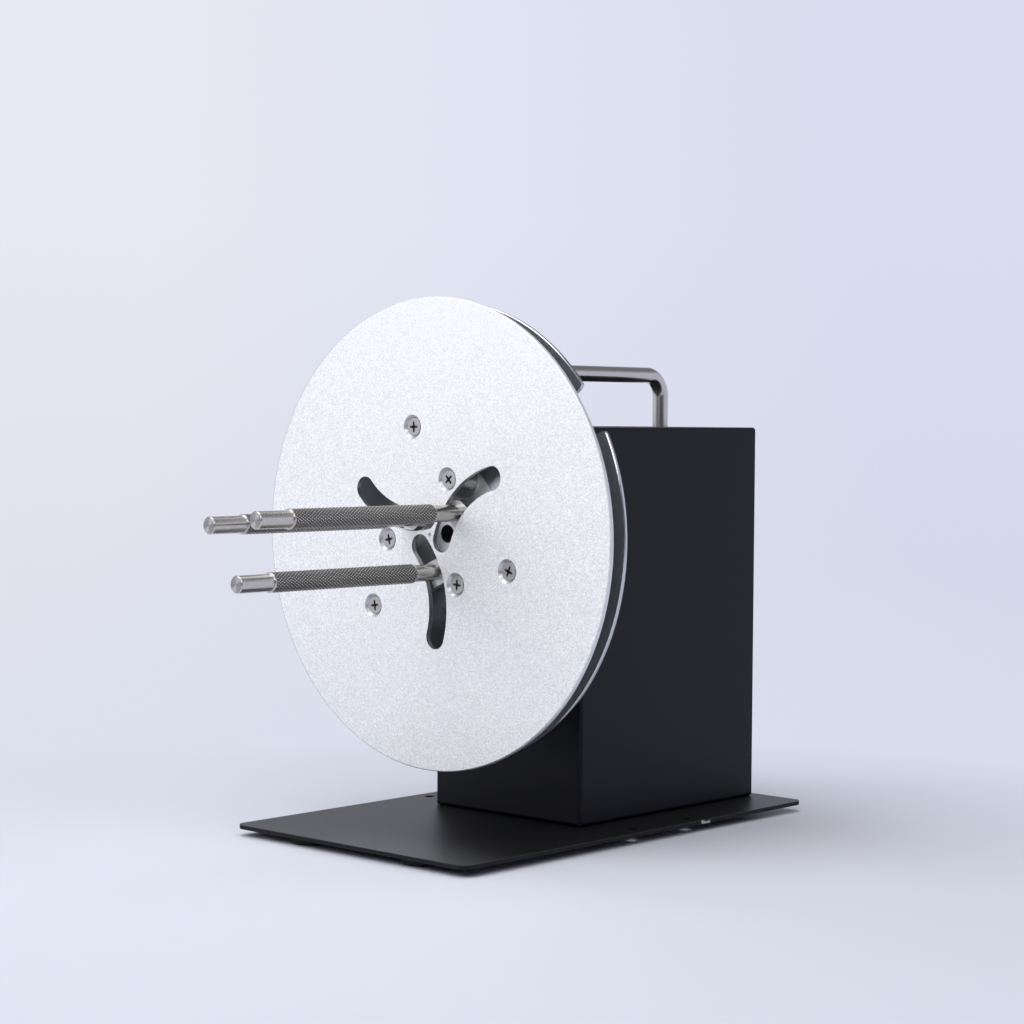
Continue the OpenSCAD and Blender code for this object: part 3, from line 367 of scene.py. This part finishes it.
def lathe(bm, profile, steps):
    """Turns (radius, along, material) points about the local Z axis; a radius of 0 closes the end."""
    uv = bm.loops.layers.uv.verify()
    rings = []
    for radius, along, _ in profile:
        if radius == 0:
            rings.append([bm.verts.new((0, 0, along))])
        else:
            rings.append([bm.verts.new((radius * math.cos(a), radius * math.sin(a), along))
                          for a in (2 * math.pi * k / steps for k in range(steps))])
    widest = max(radius for radius, _, _ in profile)
    run = 0.0
    for i, (low, high) in enumerate(zip(rings, rings[1:])):
        length = math.hypot(profile[i + 1][0] - profile[i][0], profile[i + 1][1] - profile[i][1])
        for k in range(steps):
            j = (k + 1) % steps
            corners = low[k % len(low)], low[j % len(low)], high[j % len(high)], high[k % len(high)]
            face = bm.faces.new(list(dict.fromkeys(corners)))
            face.material_index = profile[i + 1][2]
            face.smooth = True
            for loop in face.loops:
                turn = k if loop.vert in (corners[0], corners[3]) else k + 1
                far = loop.vert in high
                loop[uv].uv = (run + (length if far else 0.0), widest * 2 * math.pi * turn / steps)
        run += length


# Knurled rods

TIP_L, NECK_L, ROD_R, KNURL_R = 18.5 * MM, 13.3 * MM, 3.9 * MM, 4.5 * MM
KNURL_TEETH, KNURL_ROW, KNURL_DEEP, KNURL_LAND = 21, 1.05 * MM, 0.5 * MM, 0.36
SPIGOT_R, SPIGOT_L, TIP_CHAMFER, ROD_STEPS = 3.0 * MM, 5.0 * MM, 0.3 * MM, 64


def knurl(bm, start, end, flank_painted_shade, crest_painted_highlight):
    """Small pyramids between two families of crossing grooves, on a closed sleeve."""
    rows = round((end - start) / KNURL_ROW)
    pitch = (end - start) / rows
    step = 2 * math.pi / KNURL_TEETH

    def point(column, row, radius):
        a = column * step
        return (radius * math.cos(a), radius * math.sin(a), start + row * pitch)

    corners = {}

    def corner(column, row):
        key = (round(2 * column) % (2 * KNURL_TEETH), row)
        if key not in corners:
            corners[key] = bm.verts.new(point(column, row, KNURL_R - KNURL_DEEP))
        return corners[key]

    def facet(points, shade):
        face = bm.faces.new(points)
        face.material_index = shade

    for row in range(rows + 1):
        shift = 0.5 * (row % 2)
        for k in range(KNURL_TEETH):
            column = k + shift
            left, right = corner(column - 0.5, row), corner(column + 0.5, row)
            below = corner(column, row - 1) if row > 0 else None
            above = corner(column, row + 1) if row < rows else None
            rim = [p for p in (left, below, right, above) if p]
            tops = []
            for p in rim:
                centre = Vector(point(column, row, KNURL_R))
                top = centre.lerp(p.co, KNURL_LAND)
                flat = Vector((top.x, top.y, 0)).normalized() * KNURL_R
                tops.append(bm.verts.new((flat.x, flat.y, top.z)))
            # Crest tops take the painted highlight; the flanks below take the painted shade.
            facet(tops, crest_painted_highlight)
            count = len(rim)
            for i in range(count):
                j = (i + 1) % count
                facet([rim[i], rim[j], tops[j], tops[i]], flank_painted_shade)


def make_rod(number, mats):
    low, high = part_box(f"rod_{number}")
    reach = DISC_Y - low.y
    back = high.y - DISC_Y
    shoulder = back - SPIGOT_L
    start, end = NECK_L, reach - TIP_L
    valley = KNURL_R - KNURL_DEEP
    neck, tip, flank_painted_shade, face, crest_painted_highlight = range(5)
    bm = bmesh.new()
    lathe(bm, [
        (0, -back, neck), (SPIGOT_R, -back, neck), (SPIGOT_R, -shoulder, neck), (ROD_R, -shoulder, neck),
        (ROD_R, start, neck), (KNURL_R - 0.1 * MM, start + 0.5 * MM, neck), (valley, start + 0.8 * MM, neck),
        (valley, end - 1.0 * MM, neck), (KNURL_R, end - 0.9 * MM, neck), (KNURL_R, end - 0.2 * MM, neck),
        (KNURL_R - 0.2 * MM, end, tip), (ROD_R, end, tip), (ROD_R, reach - TIP_CHAMFER, tip),
        (ROD_R - TIP_CHAMFER, reach, tip), (0, reach, face)], ROD_STEPS)
    knurl(bm, start + 0.4 * MM, end - 0.8 * MM, flank_painted_shade, crest_painted_highlight)
    place = Matrix.Translation(((low.x + high.x) / 2, DISC_Y, (low.z + high.z) / 2))
    place = place @ Matrix.Rotation(math.pi / 2, 4, "X")
    finish_piece(bm, f"knurled_rod_{number}", mats, ("rod", "tip", "knurl", "end", "crest_painted_highlight"), place,
                 f"swing_arm_{number}", f"rod_{number}")


# Handle

HANDLE_R, HANDLE_BEND = 4.0 * MM, 11.0 * MM
BEND_STEPS, HANDLE_STEPS = 24, 48


def make_handle(mats):
    """One round rod, bent twice, that stands on the housing."""
    low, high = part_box("handle")
    near, far = low.y + HANDLE_R, high.y - HANDLE_R
    crown = high.z - HANDLE_R
    path = [(near, low.z, 0.0)]
    for k in range(BEND_STEPS + 1):
        a = math.pi / 2 * k / BEND_STEPS
        path.append((near + HANDLE_BEND * (1 - math.cos(a)), crown - HANDLE_BEND * (1 - math.sin(a)), a))
    for k in range(BEND_STEPS + 1):
        a = math.pi / 2 * k / BEND_STEPS
        path.append((far - HANDLE_BEND * (1 - math.sin(a)), crown - HANDLE_BEND * (1 - math.cos(a)),
                     math.pi / 2 + a))
    path.append((far, low.z, math.pi))
    bm = bmesh.new()
    uv = bm.loops.layers.uv.verify()
    turns = [2 * math.pi * k / HANDLE_STEPS for k in range(HANDLE_STEPS)]
    side = Vector((1, 0, 0))
    rings = []
    for y, z, a in path:
        out = Vector((0, -math.cos(a), math.sin(a)))
        rings.append([bm.verts.new(Vector((0, y, z)) + HANDLE_R * (side * math.cos(t) + out * math.sin(t)))
                      for t in turns])
    run = 0.0
    for i, (a, b) in enumerate(zip(rings, rings[1:])):
        length = math.hypot(path[i + 1][0] - path[i][0], path[i + 1][1] - path[i][1])
        for k in range(HANDLE_STEPS):
            j = (k + 1) % HANDLE_STEPS
            face = bm.faces.new((a[k], a[j], b[j], b[k]))
            face.smooth = True
            for loop, (u, v) in zip(face.loops, ((0, k), (0, k + 1), (length, k + 1), (length, k))):
                loop[uv].uv = (run + u, HANDLE_R * 2 * math.pi * v / HANDLE_STEPS)
        run += length
    bm.faces.new(rings[0])
    bm.faces.new(rings[-1])
    bmesh.ops.recalc_face_normals(bm, faces=bm.faces)
    place = Matrix.Translation(((low.x + high.x) / 2, 0, 0))
    finish_piece(bm, "bent_handle", mats, ("stainless",), place, "base", "handle")


# Cross-head screws in the front disc: radius and angle about the disc's axis, turn of the cross

HEAD_R, HEAD_CHAMFER, HEAD_EDGE, SHANK_R, SCREW_STEPS = 4.2 * MM, 0.15 * MM, 0.4 * MM, 2.0 * MM, 56
WING_L, WING_W, WING_DEEP = 2.5 * MM, 0.6 * MM, 1.9 * MM
OUTER, INNER = (51.2 * MM, 103.2), (28.1 * MM, 66.7)
SCREWS = {
    "pivot_screws": (OUTER, (2, 8, -22)),
    "disc_screws": (INNER, (43, 12, -4)),
}


def cross_outline(scale):
    """Corners of a cross with tapered wings, anticlockwise from the first wing."""
    wing = ((WING_L * 0.9, -0.9 * WING_W), (WING_L, -0.55 * WING_W), (WING_L, 0.55 * WING_W),
            (WING_L * 0.9, 0.9 * WING_W), (WING_W * 1.35, WING_W), (WING_W * 1.12, WING_W * 1.12),
            (WING_W, 1.35 * WING_W))
    points = []
    for quarter in range(4):
        a = math.pi / 2 * quarter
        for along, across in wing:
            points.append((scale * (along * math.cos(a) - across * math.sin(a)),
                           scale * (along * math.sin(a) + across * math.cos(a))))
    return points


def make_screw(name, place, reach, stands_for, mats):
    """A countersunk screw whose head's face is at z = 0, with a cross recess."""
    bm = bmesh.new()
    cone = HEAD_R - SHANK_R
    lathe(bm, [(HEAD_R - HEAD_CHAMFER, 0, 0), (HEAD_R, -HEAD_CHAMFER, 0), (HEAD_R, -HEAD_EDGE, 0),
               (SHANK_R, -HEAD_EDGE - cone, 0), (SHANK_R, -reach, 0), (0, -reach, 0)], SCREW_STEPS)
    rim = [v for v in bm.verts if v.co.z == 0]
    mouth = [bm.verts.new((x, y, 0)) for x, y in cross_outline(1.0)]
    floor = [bm.verts.new((x, y, -WING_DEEP)) for x, y in cross_outline(0.5)]
    count = len(mouth)
    around = sorted(rim, key=lambda v: math.atan2(v.co.y, v.co.x))
    loops = [bm.edges.get((a, b)) or bm.edges.new((a, b)) for a, b in zip(around, around[1:] + around[:1])]
    loops += [bm.edges.new((a, b)) for a, b in zip(mouth, mouth[1:] + mouth[:1])]
    bmesh.ops.triangle_fill(bm, use_beauty=True, edges=loops)
    # The recess's walls and floor take the second material, painted shade.
    for i in range(count):
        j = (i + 1) % count
        bm.faces.new((mouth[i], mouth[j], floor[j], floor[i])).material_index = 1
    bm.faces.new(floor).material_index = 1
    bmesh.ops.recalc_face_normals(bm, faces=bm.faces)
    finish_piece(bm, name, mats, ("screw", "recess"), place, "spindle_unit", stands_for)


def make_screws(mats):
    for stands_for, ((radius, angle), turns) in SCREWS.items():
        low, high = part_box(stands_for)
        for k, turn in enumerate(turns):
            a = math.radians(angle + 120 * k)
            place = Matrix.Translation((AXIS_X + radius * math.cos(a), low.y, AXIS_Z + radius * math.sin(a)))
            place = place @ Matrix.Rotation(math.pi / 2, 4, "X") @ Matrix.Rotation(math.radians(turn), 4, "Z")
            make_screw(f"{stands_for[:-1]}_{k + 1}", place, high.y - low.y, stands_for, mats)


# Stage and light


def make_stage():
    """A pale floor that rises into a round wall; behind and away from the object it shows its colour,
    with painted light that makes it lighter towards the left and towards the top.

    In reflections the wall is darker on the photograph's near side and towards its top, as in a studio.
    """
    n = Nodes("sweep")
    n.set(Base_Color=rgb(0.672, 0.684, 0.748), Roughness=0.9, Specular_IOR_Level=0.1)
    x, y, z = n.axes()
    reach = n.add("ShaderNodeVectorMath", operation="LENGTH", Vector=n.place).outputs["Value"]
    shifted = n.add("ShaderNodeMapping", Vector=n.place, Location=(0.0, 0.12, 0.0)).outputs["Vector"]
    away = n.add("ShaderNodeVectorMath", operation="LENGTH", Vector=shifted).outputs["Value"]
    side = n.ramp(x, 0.0, 1.0, -0.55, 0.55)
    # Painted light: the wall's colour is lighter towards the left and towards the top.
    pale = n.mix(n.ramp(z, 0.0, 1.0, 0.0, 0.5),
                 n.mix(side, rgb(0.742, 0.762, 0.852), rgb(0.67, 0.695, 0.828)),
                 n.mix(side, rgb(0.795, 0.81, 0.905), rgb(0.70, 0.72, 0.86)))
    behind = n.ramp(n.math("DIVIDE", y, reach), 0.0, 1.0, -0.85, -0.4)
    floor = n.ramp(reach, 1.0, 0.0, 1.0, 1.7)
    low = n.ramp(z, 1.0, 0.25, 0.9, 1.8)
    path = n.add("ShaderNodeLightPath").outputs
    light = n.math("MULTIPLY", n.math("MAXIMUM", behind, floor), low)
    shade = n.mix(n.math("MAXIMUM", light, path["Is Camera Ray"]), rgb(0.10, 0.097, 0.10), pale)
    glow = n.add("ShaderNodeEmission", Color=shade, Strength=1.0).outputs["Emission"]
    seen = n.math("MAXIMUM", n.math("MAXIMUM", path["Is Camera Ray"], path["Is Glossy Ray"]),
                  path["Is Transmission Ray"])
    both = n.add("ShaderNodeMixShader", Fac=n.math("MULTIPLY", seen, n.ramp(away, 0.0, 1.0, 0.2, 0.46)))
    n.put(both.inputs[1], n.shader.outputs[0])
    n.put(both.inputs[2], glow)
    n.put(n.tree.nodes["Material Output"].inputs["Surface"], both.outputs[0])
    bm = bmesh.new()
    flat, radius, top, steps, bend_steps = 1.9, 0.8, 2.6, 96, 24
    profile = [(0.0, 0.0), (flat, 0.0)]
    profile += [(flat + radius * math.sin(a), radius - radius * math.cos(a))
                for a in (math.pi / 2 * k / bend_steps for k in range(1, bend_steps + 1))]
    profile.append((flat + radius, top))
    lathe(bm, [(r, z, 0) for r, z in profile], steps)
    mesh = bpy.data.meshes.new("sweep")
    bm.to_mesh(mesh)
    bm.free()
    mesh.materials.append(n.material)
    sweep = bpy.data.objects.new("sweep", mesh)
    sweep.matrix_world = Matrix.Rotation(CAM_AZ, 4, "Z")
    bpy.context.scene.collection.objects.link(sweep)


def area_light(name, place, aim, size, power, colour=(1, 1, 1)):
    data = bpy.data.lights.new(name, "AREA")
    data.shape = "RECTANGLE"
    data.size, data.size_y = size
    data.energy = power
    data.color = colour
    light = bpy.data.objects.new(name, data)
    light.location = place
    light.rotation_euler = (Vector(aim) - Vector(place)).to_track_quat("-Z", "Y").to_euler()
    bpy.context.scene.collection.objects.link(light)


def make_light():
    middle = (0, 0, 0.14)
    area_light("key", (-0.55, -1.28, 1.1), middle, (1.6, 1.2), 17.5, (0.975, 0.985, 1))
    area_light("front", (0.95, -0.95, 1.05), middle, (0.9, 0.7), 5.5, (0.985, 0.985, 1))
    area_light("top", (-0.15, -0.1, 1.8), middle, (1.5, 1.5), 19, (0.97, 0.98, 1))
    world = bpy.data.worlds.new("studio")
    world.use_nodes = True
    world.node_tree.nodes["Background"].inputs["Color"].default_value = rgb(0.80, 0.83, 0.90)
    world.node_tree.nodes["Background"].inputs["Strength"].default_value = 0.18
    bpy.context.scene.world = world


bpy.context.scene.view_settings.view_transform = "Standard"
make_camera()
materials = make_materials()
for rod_number in (1, 2, 3):
    make_rod(rod_number, materials)
make_handle(materials)
make_screws(materials)
make_stage()
make_light()
